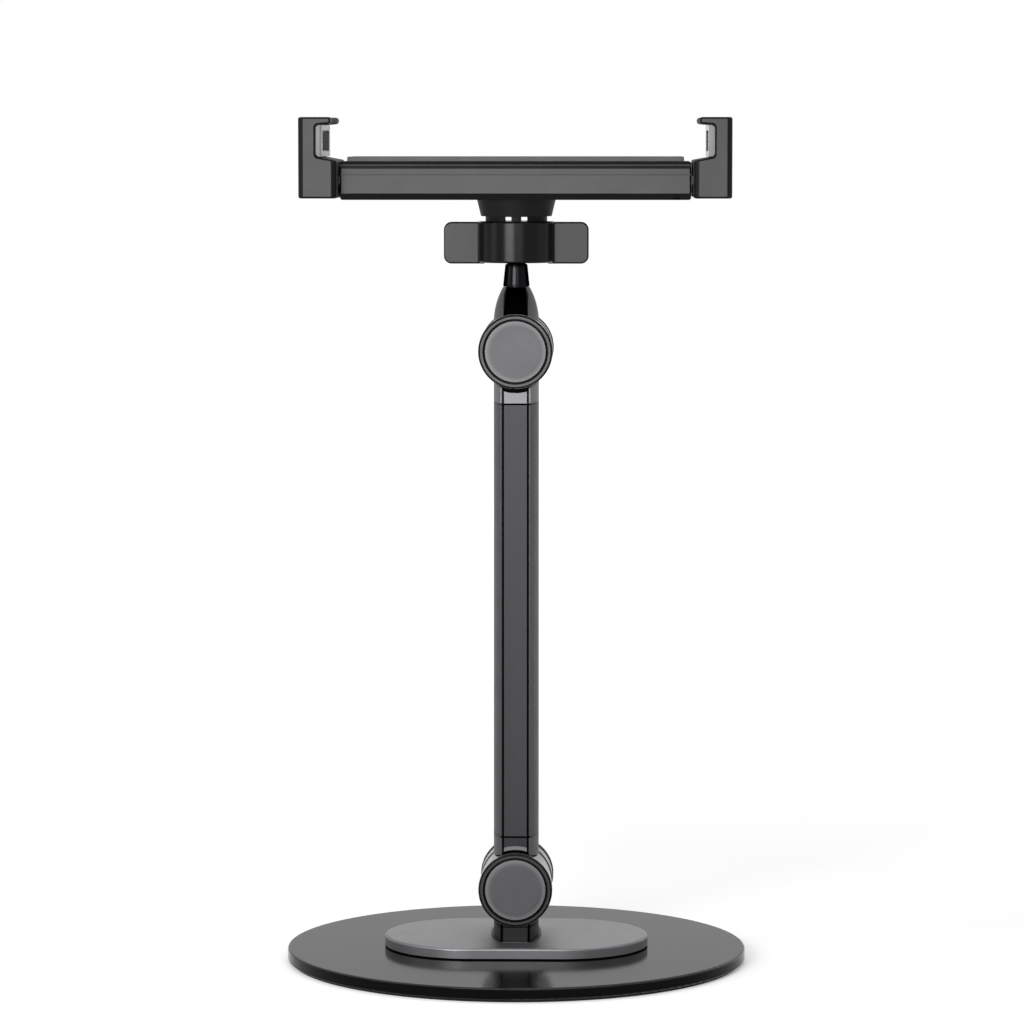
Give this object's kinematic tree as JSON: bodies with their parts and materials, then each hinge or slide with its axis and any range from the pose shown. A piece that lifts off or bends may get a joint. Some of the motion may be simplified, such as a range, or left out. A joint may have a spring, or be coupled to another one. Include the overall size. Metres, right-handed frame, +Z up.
{
  "type": "tablet desk stand",
  "caption": "Desk stand for a tablet: round base, mast between two friction knuckles, ball joint with wing nut, and a sprung two-jaw holder.",
  "frame": {"origin": "middle of the base's underside", "axes": "+Z up the mast, -Y to the front, jaws along X"},
  "size_m": [0.2, 0.2, 0.3674],
  "materials": {
    "powder_coated_steel": "fine satin powder coat",
    "anodised_aluminium": "black anodised, fine bead blast",
    "black_abs": "fine moulded texture",
    "gloss_nylon": "glossy",
    "black_rubber": "matt",
    "grey_silicone": "satin",
    "black_steel": "black oxide",
    "natural_nylon": "satin"
  },
  "bodies": {
    "root": {"base_pad": "black_rubber", "base_plate": "powder_coated_steel", "base_screws": "black_steel", "foot_gasket": "black_rubber", "foot_plate": "anodised_aluminium", "post_screws": "black_steel", "post_fork": "anodised_aluminium", "lower_pivot_bolt": "black_steel", "lower_lock_nut": "black_steel", "lower_spring_washers": "black_steel", "lower_front_bezel": "black_abs", "lower_rear_bezel": "black_abs", "lower_front_cap": "black_abs", "lower_rear_cap": "black_abs"},
    "mast": {"mast_tube": "anodised_aluminium", "mast_front_strip": "anodised_aluminium", "mast_rear_strip": "anodised_aluminium", "lower_tongue": "anodised_aluminium", "upper_tongue": "anodised_aluminium", "lower_friction_washers": "natural_nylon", "upper_friction_washers": "natural_nylon", "lower_tongue_screws": "black_steel", "upper_tongue_screws": "black_steel"},
    "neck": {"neck_fork": "anodised_aluminium", "upper_pivot_bolt": "black_steel", "upper_lock_nut": "black_steel", "upper_spring_washers": "black_steel", "upper_front_bezel": "black_abs", "upper_rear_bezel": "black_abs", "upper_front_cap": "black_abs", "upper_rear_cap": "black_abs"},
    "ball": {"ball_stud": "black_steel"},
    "seat": {"ball_seat": "natural_nylon"},
    "holder": {"holder_base": "black_abs", "holder_cover": "black_abs", "cover_screws": "black_steel", "front_rest_strip": "black_rubber", "rear_rest_strip": "black_rubber", "pinion_axle": "black_steel", "left_spring": "black_steel", "right_spring": "black_steel"},
    "pinion": {"sync_pinion": "natural_nylon"},
    "wing_nut": {"wing_nut": "gloss_nylon"},
    "left": {"left_jaw": "black_abs", "left_arm": "natural_nylon", "left_pad": "grey_silicone", "left_jaw_screws": "black_steel"},
    "right": {"right_jaw": "black_abs", "right_arm": "natural_nylon", "right_pad": "grey_silicone", "right_jaw_screws": "black_steel"}
  },
  "joints": [
    {"name": "lower_fold", "type": "hinge", "parent": "root", "child": "mast", "pos_m": [0, 0, 0.0343], "axis": [0, 1, 0], "range_deg": [-90, 90]},
    {"name": "upper_fold", "type": "hinge", "parent": "mast", "child": "neck", "pos_m": [0, 0, 0.2673], "axis": [0, 1, 0], "range_deg": [-75, 75]},
    {"name": "ball_swing", "type": "hinge", "parent": "neck", "child": "ball", "pos_m": [0, 0, 0.3142], "axis": [0, 0, 1], "continuous": true},
    {"name": "ball_tilt", "type": "hinge", "parent": "ball", "child": "seat", "pos_m": [0, 0, 0.3142], "axis": [0, 1, 0], "range_deg": [-35, 35]},
    {"name": "head_spin", "type": "hinge", "parent": "seat", "child": "holder", "pos_m": [0, 0, 0.3142], "axis": [0, 0, 1], "continuous": true},
    {"name": "wing_nut_turn", "type": "hinge", "parent": "holder", "child": "wing_nut", "pos_m": [0, 0, 0.3142], "axis": [0, 0, 1], "range_deg": [-120, 0]},
    {"name": "left_jaw_slide", "type": "slide", "parent": "holder", "child": "left", "axis": [-1, 0, 0], "range_m": [0, 0.028], "stiffness_N_per_m": 300, "springref_m": -0.03, "deforming": ["left_spring"]},
    {"name": "right_jaw_slide", "type": "slide", "parent": "holder", "child": "right", "axis": [1, 0, 0], "range_m": [0, 0.028], "stiffness_N_per_m": 300, "springref_m": -0.03, "deforming": ["right_spring"]},
    {"name": "pinion_turn", "type": "hinge", "parent": "holder", "child": "pinion", "pos_m": [0, 0, 0.3142], "axis": [0, 0, 1], "range_deg": [0, 201]}
  ],
  "couplings": [
    {"joint": "right_jaw_slide", "follows": "left_jaw_slide", "ratio": 1},
    {"joint": "pinion_turn", "follows": "left_jaw_slide", "rad_per_m": 125}
  ]
}
